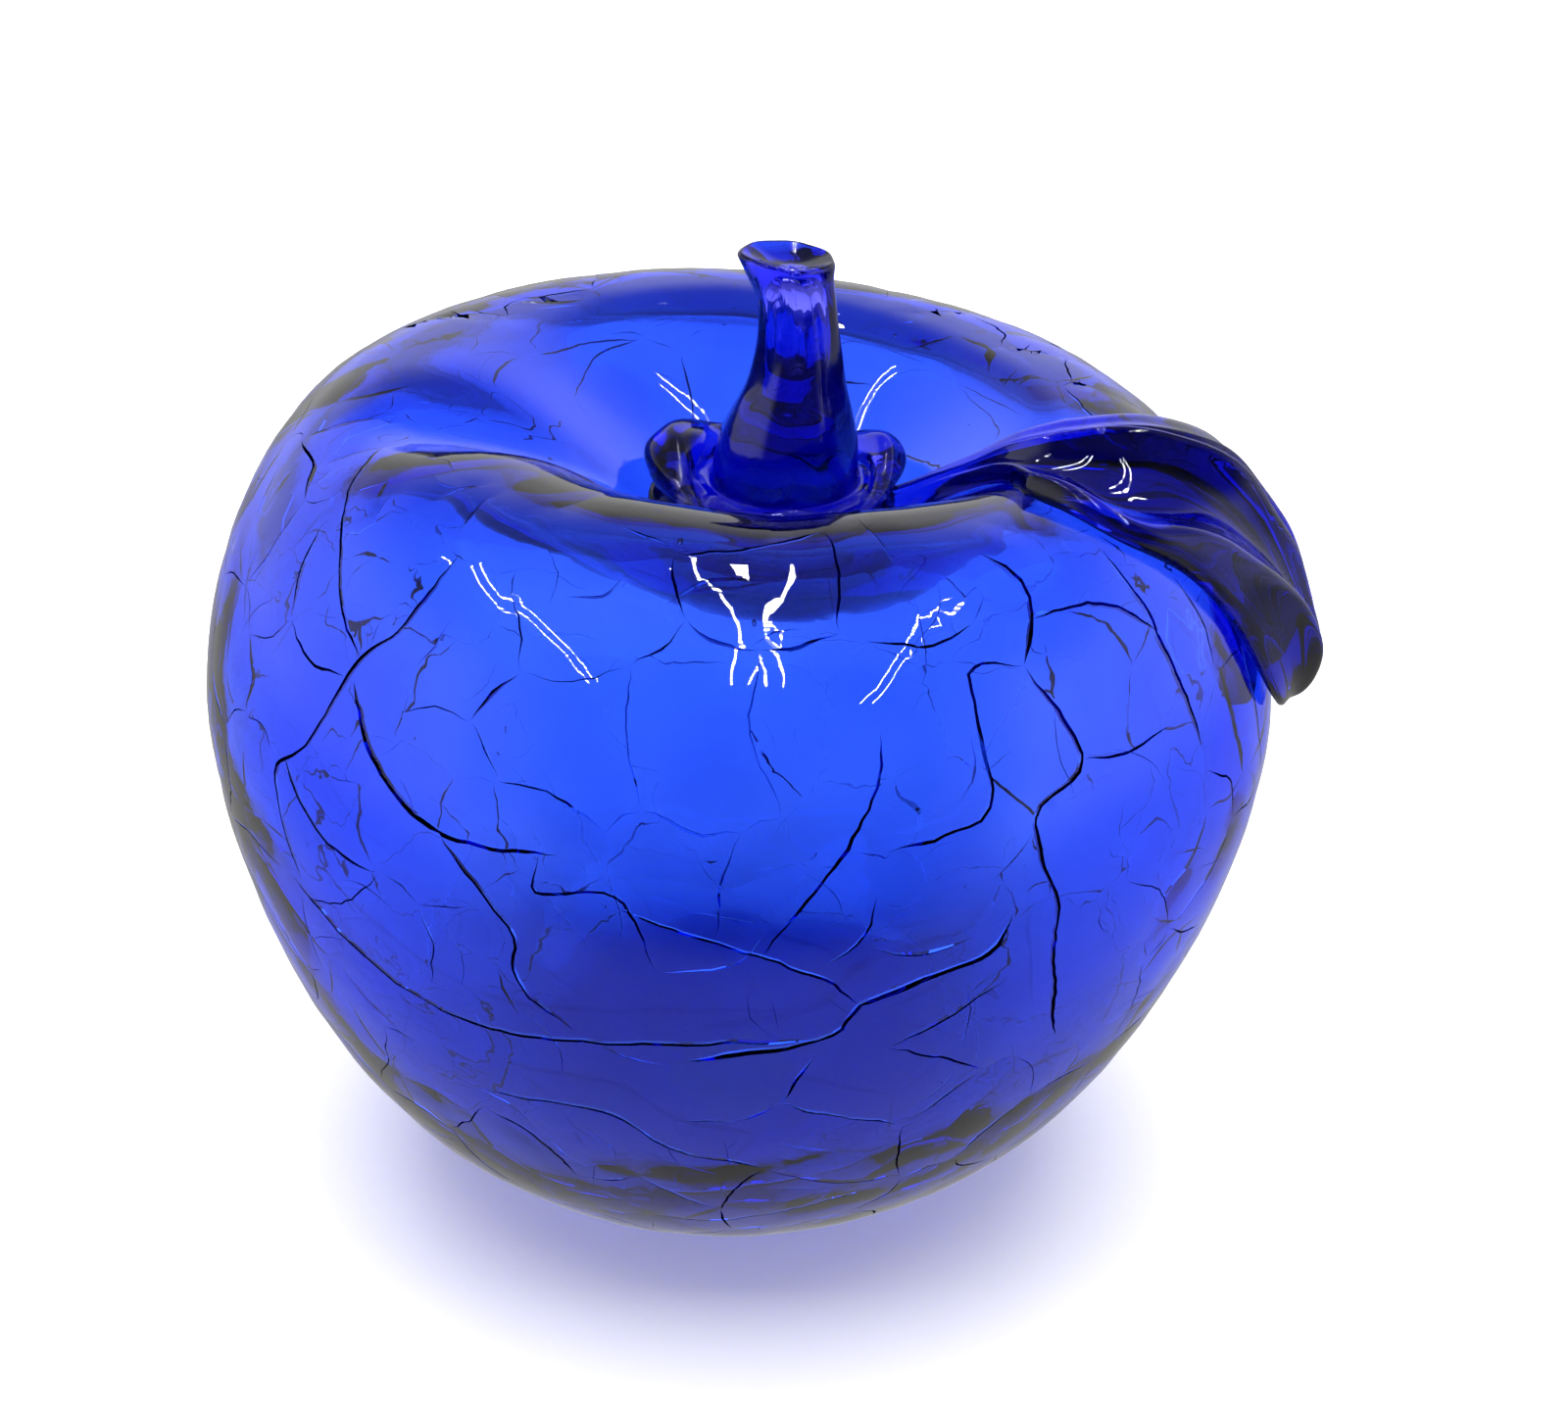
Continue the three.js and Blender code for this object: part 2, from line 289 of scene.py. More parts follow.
def to_apple(radius, height, azimuth):
    """Carries points of the round design to their place on the leaning, lobed apple."""
    lift = np.maximum(height / CREST_HEIGHT, 0) ** 1.5
    in_dimple = np.where(height > BELT_HEIGHT, np.maximum(1 - (radius / CREST_RADIUS) ** 2, 0), 0)
    oval = 1 + lift * OVAL * np.sin(2 * azimuth)
    x = radius * np.cos(azimuth) * oval + LEAN_X * lift + DIMPLE_X * in_dimple
    y = radius * np.sin(azimuth) * oval + DIMPLE_Y * in_dimple
    near = np.exp(-(((radius - GROOVE_RADIUS) / GROOVE_REACH) ** 2))
    groove = 0
    for at, half_width, depth in GROOVES:
        away = (np.degrees(azimuth) - at + 180) % 360 - 180
        groove = groove + depth * np.exp(-((away / half_width) ** 2))
    top = smoothstep(height, BELT_HEIGHT, CREST_HEIGHT - 8)
    z = height + TILT * radius * np.cos(azimuth) * lift - groove * near * top
    return np.stack(np.broadcast_arrays(x, y, z), -1)


def on_skin(azimuth, up, depth):
    """A point in mm: azimuth in radians, distance up the skin, and depth below the surface."""
    radius = np.interp(up, LENGTH, RADIUS) + depth * np.interp(up, LENGTH, IN_RADIUS)
    height = np.interp(up, LENGTH, HEIGHT) + depth * np.interp(up, LENGTH, IN_HEIGHT)
    return to_apple(np.maximum(radius, 0), height, azimuth)


# ---------- Meshes ----------


def ring_faces(rings, around, first, flip=False):
    """Quads between rings of points that start at index first."""
    faces = []
    for ring in range(rings - 1):
        for step in range(around):
            after = (step + 1) % around
            a = first + ring * around + step
            b = first + ring * around + after
            c = first + (ring + 1) * around + after
            d = first + (ring + 1) * around + step
            faces.append((a, d, c, b) if flip else (a, b, c, d))
    return faces


def fan_faces(centre, first, around, flip=False):
    faces = []
    for step in range(around):
        after = (step + 1) % around
        faces.append((centre, first + after, first + step) if flip else (centre, first + step, first + after))
    return faces


def capped(start, rings, end):
    """A closed surface from one pole through rings of equal size to another pole, facing outwards."""
    around = len(rings[0])
    points = [tuple(point) for ring in rings for point in ring]
    points += [tuple(start), tuple(end)]
    faces = ring_faces(len(rings), around, 0)
    faces += fan_faces(len(points) - 2, 0, around, True)
    faces += fan_faces(len(points) - 1, (len(rings) - 1) * around, around)
    return outward(points, faces)


def outward(points, faces):
    """The same closed surface with its faces turned to look out."""
    points = np.asarray(points, float)
    volume = 0
    for face in faces:
        for i in range(1, len(face) - 1):
            a, b, c = points[[face[0], face[i], face[i + 1]]]
            volume += np.dot(a, np.cross(b, c))
    if volume < 0:
        faces = [face[::-1] for face in faces]
    return points, faces


def joined(shells):
    """Several closed surfaces as one mesh; a shell marked as a void faces into its own hollow."""
    points = []
    faces = []
    for (shell_points, shell_faces), void in shells:
        first = len(points)
        points += [tuple(point) for point in shell_points]
        for face in shell_faces:
            moved = tuple(first + i for i in face)
            faces.append(moved[::-1] if void else moved)
    return points, faces


def make_piece(name, points, faces, replaced, slot, sharp=False):
    """A glass piece on the root body that stands in for CAD nodes, from points in mm."""
    mesh = bpy.data.meshes.new(name)
    mesh.from_pydata((np.asarray(points) * MM).tolist(), [], faces)
    welded = bmesh.new()
    welded.from_mesh(mesh)
    bmesh.ops.remove_doubles(welded, verts=welded.verts, dist=WELD * MM)
    bmesh.ops.dissolve_degenerate(welded, edges=welded.edges, dist=WELD * MM / 10)
    loose = [edge for edge in welded.edges if len(edge.link_faces) != 2]
    print(name, "faces", len(welded.faces), "open edges", len(loose))
    welded.to_mesh(mesh)
    welded.free()
    mesh.polygons.foreach_set("use_smooth", [True] * len(mesh.polygons))
    if sharp:
        mesh.set_sharp_from_angle(angle=SHARP_ANGLE)
    piece = bpy.data.objects.new(name, mesh)
    bpy.context.scene.collection.objects.link(piece)
    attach(piece, "root")
    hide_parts(*replaced)
    return piece


def wave(point, size, seed):
    """Smooth noise of about -1 to 1 with features of the given size in mm."""
    return noise.noise(Vector(point) / size + Vector((seed, 2 * seed, 3 * seed)))


def relief(points, layers):
    """Depth in mm of the slow unevenness at each point."""
    return np.array([sum(depth * wave(p, size, seed) for depth, size, seed in layers) for p in points])


# ---------- Crackle ----------
# The skin is laid out flat for this: across is MAP_RADIUS times the angle from the seam at the
# back, and up is the distance up the skin.

random = np.random.default_rng(SEED)


def to_map(azimuth_degrees, up):
    angle = (azimuth_degrees + 90 + 180) % 360 - 180
    return np.array([math.radians(angle) * MAP_RADIUS, up])


def squeeze(up):
    """True length of one unit across the map, at a distance up the skin."""
    return np.interp(up, LENGTH, RADIUS) / MAP_RADIUS


HALF_MAP = math.pi * MAP_RADIUS


def curved(points, step):
    """A smooth route through a few points, as closely spaced points."""
    points = np.asarray(points, float)
    padded = np.vstack([2 * points[0] - points[1], points, 2 * points[-1] - points[-2]])
    route = []
    for i in range(1, len(padded) - 2):
        before, start, end, after = padded[i - 1 : i + 3]
        count = max(int(np.linalg.norm(end - start) / step), 1)
        for t in np.arange(count) / count:
            tangent_in = (end - before) / 2
            tangent_out = (after - start) / 2
            route.append(
                start
                + tangent_in * t
                + (3 * (end - start) - 2 * tangent_in - tangent_out) * t**2
                + (2 * (start - end) + tangent_in + tangent_out) * t**3
            )
    route.append(points[-1])
    return np.array(route)


def roughen(route, size):
    """Sideways jitter that leaves a crack's ends in place."""
    jitter = random.normal(0, 1, route.shape)
    jitter[1:-1] = (jitter[1:-1] + jitter[:-2] + jitter[2:]) / 3
    jitter[0] = jitter[-1] = 0
    return route + jitter * size


def cell_edges():
    """Edges of irregular cells over the whole skin, as pairs of map points."""
    seeds = []
    rows = int((CRACK_HIGH - CRACK_LOW) / CELL) + 2
    for row in range(-1, rows):
        up = CRACK_LOW + row * CELL
        around = max(int(2 * math.pi * np.interp(up, LENGTH, RADIUS) / CELL), 7)
        for step in range(around):
            across = (step + 0.5 * (row % 2) + random.uniform(-0.4, 0.4)) / around
            seeds.append(((2 * across - 1) * HALF_MAP, up + random.uniform(-0.42, 0.42) * CELL))
    seeds = [(x + shift, y) for x, y in seeds for shift in (-2 * HALF_MAP, 0, 2 * HALF_MAP)]
    seeds = [Vector(seed) for seed in seeds if abs(seed[0]) < HALF_MAP * 1.4]
    points, _, faces, *_ = geometry.delaunay_2d_cdt(seeds, [], [], 0, 1e-6)
    centres = [circle_centre([points[i] for i in face]) for face in faces]
    sides = {}
    for index, face in enumerate(faces):
        for i in range(3):
            sides.setdefault(frozenset((face[i], face[i - 1])), []).append(index)
    return [(centres[pair[0]], centres[pair[1]]) for pair in sides.values() if len(pair) == 2]


def circle_centre(corners):
    """Centre of the circle through three points."""
    a, b, c = corners
    d = 2 * (a.x * (b.y - c.y) + b.x * (c.y - a.y) + c.x * (a.y - b.y))
    if abs(d) < 1e-9:
        return (a + b + c) / 3
    squares = (a.length_squared, b.length_squared, c.length_squared)
    x = squares[0] * (b.y - c.y) + squares[1] * (c.y - a.y) + squares[2] * (a.y - b.y)
    y = squares[0] * (c.x - b.x) + squares[1] * (a.x - c.x) + squares[2] * (b.x - a.x)
    return Vector((x / d, y / d))


def inside_map(point, margin=0.0):
    clear_of_seam = abs(point[0]) < HALF_MAP - SEAM_GAP - margin
    return clear_of_seam and CRACK_LOW + margin < point[1] < CRACK_HIGH - margin


def ring_route():
    """A long crack that wanders round the lower part of the apple."""
    up = random.uniform(*RING_HEIGHT)
    across = random.uniform(-0.95, 0.6) * HALF_MAP
    places = []
    for _ in range(random.integers(4, 9)):
        places.append((across, up))
        across += random.uniform(*RING_STEP)
        up += random.uniform(-3.5, 3.5)
        if not inside_map((across, up), 1):
            break
    if len(places) < 3:
        return np.zeros((0, 2))
    return roughen(curved(places, CRACK_STEP), 0.3)


def point_tree(routes):
    """Finds the nearest of all the points of some routes on the map."""
    tree = kdtree.KDTree(sum(len(route) for route in routes))
    for index, point in enumerate(np.vstack(routes)):
        tree.insert((point[0], point[1], 0), index)
    tree.balance()
    return tree


def runs_along(route, used):
    """Whether a route keeps close to cracks that are already there instead of crossing them."""
    scale = squeeze(route[:, 1])
    across = (route[:, None, 0] - used[None, :, 0]) * scale[:, None]
    up = route[:, None, 1] - used[None, :, 1]
    close = (across**2 + up**2).min(axis=1) < CROWDED**2
    return close.sum() > 3


def bold_cracks():
    """The boldest cracks as (half-width, depth, slant, route on the map)."""
    cracks = []
    for half_width, places in MAIN_CRACKS:
        route = curved([to_map(*place) for place in places], CRACK_STEP)
        depth = MAIN_DEPTH + DEPTH_PER_WIDTH * half_width
        cracks.append((half_width, depth, random.uniform(-0.15, 0.15), roughen(route, 0.22)))
    return cracks


def cell_cracks(bold):
    """Cracks along the edges of cells, clear of the bold ones."""
    taken = point_tree([crack[3] for crack in bold])
    cracks = []
    for start, end in cell_edges():
        if random.random() > KEEP_EDGE or not (inside_map(start) and inside_map(end)):
            continue
        if max(start.y, end.y) > FINE_HIGH:
            continue
        middle = (start + end) / 2
        if taken.find((middle.x, middle.y, 0))[2] < MAIN_CLEARANCE or (end - start).length < 1.5:
            continue
        bend = Vector((start.y - end.y, end.x - start.x)) * random.uniform(-0.16, 0.16)
        route = curved([start, middle + bend, end], CRACK_STEP)
        half_width = CELL_WIDTH * 2 ** random.uniform(0, WIDTH_DOUBLINGS)
        depth = random.uniform(*FINE_DEPTH)
        cracks.append((half_width, depth, random.uniform(-0.2, 0.2), roughen(route, 0.25)))
    return cracks


def ring_cracks():
    cracks = []
    for _ in range(RING_CRACKS):
        half_width = RING_WIDTH * 2 ** random.uniform(0, WIDTH_DOUBLINGS)
        depth = random.uniform(*FINE_DEPTH)
        cracks.append((half_width, depth, random.uniform(-0.2, 0.2), ring_route()))
    return cracks


def hairlines():
    """Short fine cracks that get rarer up the skin."""
    cracks = []
    for _ in range(HAIRLINES):
        up = CRACK_LOW + (FINE_HIGH - CRACK_LOW) * random.random() ** 1.5
        start = Vector((random.uniform(-1, 1) * HALF_MAP, up))
        heading = random.uniform(0, 2 * math.pi)
        size = random.uniform(*HAIRLINE_LENGTH)
        end = start + Vector((math.cos(heading), math.sin(heading))) * size
        if not (inside_map(start, 1) and inside_map(end, 1)):
            continue
        bend = Vector((-math.sin(heading), math.cos(heading))) * size * random.uniform(-0.2, 0.2)
        route = curved([start, (start + end) / 2 + bend, end], CRACK_STEP)
        depth = random.uniform(*HAIRLINE_DEPTH)
        cracks.append((HAIRLINE_WIDTH, depth, random.uniform(-0.25, 0.25), roughen(route, 0.2)))
    return cracks


def all_cracks():
    bold = bold_cracks()
    cracks = bold + cell_cracks(bold)
    used = np.vstack([crack[3] for crack in cracks])
    for crack in ring_cracks() + hairlines():
        if len(crack[3]) > 2 and not runs_along(crack[3], used):
            cracks.append(crack)
            used = np.vstack([used, crack[3]])
    return cracks


def crack_strip(crack):
    """Map points along a crack's middle and its two lips, with each one's depth and slant."""
    half_width, depth, slant, route = crack
    scale = np.stack([squeeze(route[:, 1]), np.ones(len(route))], -1)
    true = np.gradient(route * scale, axis=0)
    true /= np.linalg.norm(true, axis=1)[:, None] + 1e-9
    side = np.stack([-true[:, 1], true[:, 0]], -1)
    ends = np.minimum(np.arange(len(route)), np.arange(len(route))[::-1]) / TAPER_STEPS
    taper = np.clip(ends, 0, 1)[:, None]
    swell = 0.7 + 0.45 * np.array([wave((x, y, 0), 5, 9) for x, y in route])[:, None]
    width = half_width * swell * taper
    lips = [route + width * side / scale, route - width * side / scale]
    depths = depth * (0.4 + 0.5 * swell[:, 0]) * taper[:, 0]
    return route, lips, depths, side * slant


def skin_grid(cracks_tree):
    """Evenly spaced map points, left out where a crack passes."""
    points = []
    rows = int((CRACK_HIGH - CRACK_LOW) / SKIN_STEP)
    for row in range(1, rows):
        up = CRACK_LOW + (CRACK_HIGH - CRACK_LOW) * row / rows
        around = int(2 * math.pi * np.interp(up, LENGTH, RADIUS) / SKIN_STEP)
        for step in range(around):
            across = ((step + 0.5 * (row % 2)) / around * 2 - 1) * HALF_MAP
            if abs(across) > HALF_MAP - SKIN_STEP * 0.6:
                continue
            if cracks_tree.find((across, up, 0))[2] * min(squeeze(up), 1) > CLEARANCE:
                points.append((across, up))
        points.append((-HALF_MAP, up))
        points.append((HALF_MAP, up))
    return points


def crackled_skin():
    """The outer skin with every crack cut into it.

    Gives the map points, how deep each is cut, how far it is shifted by a crack's slant, how far the
    skin is sunk beside a crack, and the triangles.
    """
    strips = [crack_strip(crack) for crack in all_cracks() if len(crack[3]) > 2]
    tree = point_tree([strip[0] for strip in strips])
    points = skin_grid(tree)
    for up in (CRACK_LOW, CRACK_HIGH):
        points += [((step / SKIN_AROUND * 2 - 1) * HALF_MAP, up) for step in range(SKIN_AROUND + 1)]
    edges = []
    bottoms = {}
    floors = {}
    for route, lips, depths, slant in strips:
        for line in (route, *lips):
            first = len(points)
            points += [tuple(point) for point in line]
            if line is route:
                for i, depth in enumerate(depths):
                    bottoms[first + i] = (depth, slant[i])
                for i in range(len(line) - 1):
                    floors[len(edges) + i] = min(depths[i], depths[i + 1])
            edges += [(first + i, first + i + 1) for i in range(len(line) - 1)]
    result = geometry.delaunay_2d_cdt([Vector(p) for p in points], edges, [], 0, 1e-5)
    flat, cut_edges, faces, origins, edge_origins = result[:5]
    flat = np.array(flat)
    depth = np.zeros(len(flat))
    shift = np.zeros((len(flat), 2))
    for index, sources in enumerate(origins):
        for source in sources:
            if source in bottoms and bottoms[source][0] > depth[index]:
                depth[index], shift[index] = bottoms[source][0], bottoms[source][1] * bottoms[source][0]
    for ends, sources in zip(cut_edges, edge_origins):
        along = max((floors[source] for source in sources if source in floors), default=0)
        for index in ends:
            if not origins[index]:
                depth[index] = max(depth[index], along)
    to_crack = np.array([tree.find((p[0], p[1], 0))[2] for p in flat])
    to_edge = np.minimum(HALF_MAP - np.abs(flat[:, 0]), flat[:, 1] - CRACK_LOW)
    to_edge = np.minimum(to_edge, CRACK_HIGH - flat[:, 1])
    sunk = LIP_SINK * np.exp(-((to_crack / LIP_REACH) ** 2)) * smoothstep(to_edge, 0, 2)
    return flat, depth, shift, sunk, faces


def outer_skin():
    """The crackled skin in mm, closed by smooth rows over the foot and over the dimple's floor."""
    flat, depth, shift, sunk, faces = crackled_skin()
    across = flat[:, 0] + shift[:, 0] / squeeze(flat[:, 1])
    azimuth = across / MAP_RADIUS - math.pi / 2
    up = flat[:, 1] + shift[:, 1]
    surface = on_skin(azimuth, up, 0)
    points = on_skin(azimuth, up, depth + relief(surface, SKIN_RELIEF) + sunk).tolist()
    faces = [tuple(face) for face in faces]
    around = SKIN_AROUND
    turn = (np.arange(around) / around * 2 - 1) * math.pi - math.pi / 2
    to_foot = np.linspace(CRACK_LOW, 0, 4)
    to_floor = np.linspace(CRACK_HIGH, SKIN_LENGTH - 1.5, 6)
    for ups, over_foot in ((to_foot, True), (to_floor, False)):
        first = len(points)
        for level in ups:
            row = on_skin(turn, np.full(around, level), np.zeros(around))
            uneven = relief(row, SKIN_RELIEF) * (level > 0)
            points += on_skin(turn, np.full(around, level), uneven).tolist()
        rings = len(ups)
        if over_foot:
            for radius in (14, 7):
                points += to_apple(np.full(around, radius), np.zeros(around), turn).tolist()
                rings += 1
            points.append((0, 0, 0))
        else:
            points.append(on_skin(0.0, SKIN_LENGTH, 0).tolist())
        faces += ring_faces(rings, around, first, over_foot)
        faces += fan_faces(len(points) - 1, first + (rings - 1) * around, around, not over_foot)
    return points, faces


def hollow(first):
    """The inner surface, facing inwards, with its points numbered from first."""
    around = HOLLOW_AROUND
    turn = np.arange(around) / around * 2 * math.pi
    ups = np.linspace(4, SKIN_LENGTH - 3, 90)
    points = []
    for level in ups:
        row = on_skin(turn, np.full(around, level), np.zeros(around))
        height = np.interp(level, LENGTH, HEIGHT)
        wall = SIDE_WALL + (BASE_WALL - SIDE_WALL) * math.exp(-((height / BASE_FADE) ** 2))
        depth = wall + relief(row, HOLLOW_RELIEF)
        points += on_skin(turn, np.full(around, level), depth).tolist()
    points += [(0, 0, BASE_WALL), on_skin(0.0, SKIN_LENGTH, SIDE_WALL).tolist()]
    low_pole = first + len(ups) * around
    faces = ring_faces(len(ups), around, first, True)
    faces += fan_faces(low_pole, first, around, False)
    faces += fan_faces(low_pole + 1, first + (len(ups) - 1) * around, around, True)
    return points, faces


def body_mesh():
    points, faces = outer_skin()
    inner_points, inner_faces = hollow(len(points))
    wall = (points + inner_points, faces + inner_faces)
    return joined([(wall, False), *seed_bubbles()])


def seed_bubble(centre, size, stretch):
    """A small bubble in the wall, longer up the skin than across it."""
    levels = np.linspace(0, math.pi, 8)[1:-1]
    around = 10
    turn = np.arange(around) / around * 2 * math.pi
    azimuth, up, depth = centre
    rings = []
    for level in levels:
        across = size * math.sin(level) * np.cos(turn) / np.interp(up, LENGTH, RADIUS)
        deep = depth + size * math.sin(level) * np.sin(turn)
        level_up = np.full(around, up + size * stretch * math.cos(level))
        rings.append(on_skin(azimuth + across, level_up, deep))
    start = on_skin(azimuth, up + size * stretch, depth)
    end = on_skin(azimuth, up - size * stretch, depth)
    return capped(start, rings, end)


def seed_bubbles():
    bubbles = []
    for _ in range(BUBBLES):
        place = (random.uniform(0, 2 * math.pi), random.uniform(20, 125), random.uniform(2.1, 2.9))
        bubble = seed_bubble(place, random.uniform(*BUBBLE_SIZE), random.uniform(*BUBBLE_STRETCH))
        bubbles.append((bubble, True))
    return bubbles


# ---------- Hot-worked glass on top ----------


def through(rows, share):
    """The row at a share from 0 to 1 of the way along a smooth curve through evenly spaced rows."""
    rows = np.asarray(rows, float)
    place = min(max(share, 0), 1) * (len(rows) - 1)
    first = min(int(place), len(rows) - 2)
    blend = place - first
    before, start, end, after = (rows[min(max(first + offset, 0), len(rows) - 1)] for offset in (-1, 0, 1, 2))
    slope_in = (end - before) / 2
    slope_out = (after - start) / 2
    return (
        start
        + slope_in * blend
        + (3 * (end - start) - 2 * slope_in - slope_out) * blend**2
        + (2 * (start - end) + slope_in + slope_out) * blend**3
    )


def near_azimuth(azimuth, centre, half_width):
    """1 at an azimuth in degrees, fading to 0 on both sides of it. azimuth is in radians."""
    away = (np.degrees(azimuth) - centre + 180) % 360 - 180
    return np.exp(-((away / half_width) ** 2))


def dimple_ring(radius, azimuth, above):
    """A ring of the dimple's floor raised by a height in mm."""
    floor_radius, floor_height = upper_skin(2 - radius / CREST_RADIUS)
    ring = to_apple(floor_radius, floor_height, azimuth)
    ring[:, 2] += above
    return ring


STEM_AXIS = to_apple(0.0, CREST_HEIGHT - DIMPLE_DEPTH, 0.0)


def apron_rings(azimuth):
    """The skirt of glass that flows from the stem's root over the dimple's floor."""
    root_height, root_radius, root_bow = STEM_STATIONS[0]
    edge = dimple_ring(APRON_RADIUS, azimuth, 0)[:, 2]
    folds = sum(high * np.cos(count * azimuth + turn) for high, count, turn in APRON_FOLDS)
    pit = near_azimuth(azimuth, PIT_AZIMUTH, PIT_WIDTH)
    rings = []
    for share in np.linspace(0, 1, 34)[:-1]:
        radius = APRON_RADIUS + (root_radius - APRON_RADIUS) * share
        ring = dimple_ring(radius, azimuth, 0)
        middle = math.sin(math.pi * share) ** 2
        hem = 0.07 * math.sin(math.pi * min(share * 5, 1))
        rise = 0.4 * smoothstep(share, 0, 1) + 0.6 * share**1.8 + hem
        roll = APRON_ROLL * math.exp(-(((share - 0.76) / 0.13) ** 2))
        height = edge + (root_height - edge) * rise + (folds + 0.3) * middle + roll
        height -= PIT_DEPTH * pit * math.exp(-(((share - 0.42) / 0.2) ** 2))
        ring[:, 2] = np.maximum(height, ring[:, 2] + 0.15) if share > 0 else edge - 0.3
        to_root = smoothstep(share, 0.6, 1)
        root = STEM_AXIS[:2] + (root_bow, 0) + radius * np.stack([np.cos(azimuth), np.sin(azimuth)], -1)
        ring[:, :2] += (root - ring[:, :2]) * to_root
        rings.append(ring)
    return rings


def stem_ring(share, azimuth, scale=1.0, sink=0.0):
    """A level section of the stem, scaled about its middle and lowered."""
    height, radius, bow = through(STEM_STATIONS, share)
    near_top = smoothstep(share, 0.84, 1)
    flute = np.cos(STEM_FLUTES * azimuth + FLUTE_TWIST * share)
    flute = FLUTE_DEPTH * flute * smoothstep(share, 0, 0.2)
    lip = 0.09 * near_azimuth(azimuth, 178, 38) - 0.05 * near_azimuth(azimuth, -120, 25)
    across = radius * (1 + flute + lip * near_top) * scale
    x = across * np.cos(azimuth)
    y = across * np.sin(azimuth) * (1 - 0.1 * near_top)
    z = height - STEM_CUT_TILT * near_top * x - sink
    return np.stack([STEM_AXIS[0] + bow + x, STEM_AXIS[1] + y, z + 0 * x], -1)


def stem_top_rings(azimuth):
    """The sheared end: a rounded rim round a shallow, creased dish."""
    rings = []
    for turn in np.linspace(0, math.pi / 2, 6)[1:]:
        rings.append(stem_ring(1, azimuth, 1 - 0.09 * (1 - math.cos(turn)), -0.45 * math.sin(turn)))
    for scale in np.linspace(0.88, 0.08, 14):
        crease = 0.35 * near_azimuth(azimuth, -70, 16) * scale * (1 - scale) * 4
        dish = CUT_DISH * (1 - (scale / 0.91) ** 2)
        rings.append(stem_ring(1, azimuth, scale, -0.45 + dish + crease))
    return rings


def stem_core():
    """The long, streaky air core in the upper stem."""
    around = 40
    azimuth = np.arange(around) / around * 2 * math.pi
    rings = []
    low, high = CORE_SPAN
    for level in np.linspace(0, math.pi, 60)[1:-1]:
        share = (low + high) / 2 - (high - low) / 2 * math.cos(level)
        streak = np.array([wave((9 * math.cos(a), 9 * math.sin(a), 9 * share), 2.2, 21) for a in azimuth])
        size = CORE_SHARE * math.sin(level) ** 0.6 * (1 + 0.2 * streak)
        rings.append(stem_ring(share, azimuth, size))
    start = stem_ring(low, azimuth, 0)[0]
    end = stem_ring(high, azimuth, 0)[0]
    return capped(start, rings, end)


def stem_mesh():
    azimuth = np.arange(144) / 144 * 2 * math.pi
    under = [dimple_ring(radius, azimuth, -1.0) for radius in (3, 6, 9, 12, 12.9)]
    side = [stem_ring(share, azimuth) for share in np.linspace(0, 1, 80)]
    top = stem_top_rings(azimuth)
    rings = under + apron_rings(azimuth) + side + top
    start = dimple_ring(0.0, azimuth, -1.0)[0]
    end = top[-1].mean(axis=0)
    shells = [(capped(start, rings, end), False), (stem_core(), True)]
    for _ in range(NEEDLES):
        shells.append((needle_bubble(), True))
    return joined(shells)


def needle_bubble():
    """A fine bubble drawn out along the stem."""
    azimuth = random.uniform(0, 2 * math.pi)
    low = random.uniform(0.2, 0.8)
    high = low + random.uniform(0.06, 0.2)
    at = random.uniform(0.62, 0.85)
    size = random.uniform(*NEEDLE_SIZE)
    turn = np.arange(6) / 6 * 2 * math.pi
    rings = []
    middles = []
    for level in np.linspace(0, math.pi, 9):
        share = (low + high) / 2 - (high - low) / 2 * math.cos(level)
        middle = stem_ring(share, np.array([azimuth]), at)[0]
        middles.append(middle)
        spread = size * math.sin(level)
        offsets = np.stack([np.cos(turn), np.sin(turn), 0 * turn], -1)
        rings.append(middle + spread * offsets)
    return capped(middles[0], rings[1:-1], middles[-1])


def wrap_mesh():
    """The ring of glass wound round the stem's root, swollen into a lobe on each side behind it."""
    around = 180
    tube_steps = 40
    rings = []
    for step in range(around):
        azimuth = step / around * 2 * math.pi
        tube, height, radius = WRAP_TUBE, WRAP_HEIGHT, WRAP_RADIUS
        for centre, half_width, wider, higher, further in WRAP_LOBES:
            near = near_azimuth(azimuth, centre, half_width)
            tube += wider * near
            height += higher * near
            radius += further * near
        front = near_azimuth(azimuth, WRAP_FRONT, WRAP_FRONT_WIDTH)
        tube *= 1 - 0.5 * front
        height -= WRAP_FRONT_SINK * front
        turn = np.arange(tube_steps) / tube_steps * 2 * math.pi
        twist = 1 + 0.07 * np.cos(3 * turn + 4 * azimuth) + 0.04 * np.cos(5 * turn - 7 * azimuth)
        out = radius + tube * twist * np.cos(turn)
        z = height + 0.92 * tube * twist * np.sin(turn)
        x = STEM_AXIS[0] + out * math.cos(azimuth)
        y = STEM_AXIS[1] + out * math.sin(azimuth)
        rings.append(np.stack([x, y, z], -1))
    points = np.concatenate(rings)
    faces = []
    for ring in range(around):
        after_ring = (ring + 1) % around
        for step in range(tube_steps):
            after = (step + 1) % tube_steps
            a = ring * tube_steps + step
            b = ring * tube_steps + after
            c = after_ring * tube_steps + after
            d = after_ring * tube_steps + step
            faces.append((a, b, c, d))
    return outward(points, faces)


def on_leaf(station, across, height):
    """A point above the glass under the leaf: across and height in mm."""
    meridian, centre, *_ = station
    radius, skin_height = upper_skin(meridian)
    before = np.array(upper_skin(max(meridian - 0.01, 0)))
    after = np.array(upper_skin(meridian + 0.01))
    along = (after - before) / np.linalg.norm(after - before)
    azimuth = math.radians(centre) + across / radius
    return to_apple(radius + along[1] * height, skin_height - along[0] * height, azimuth)


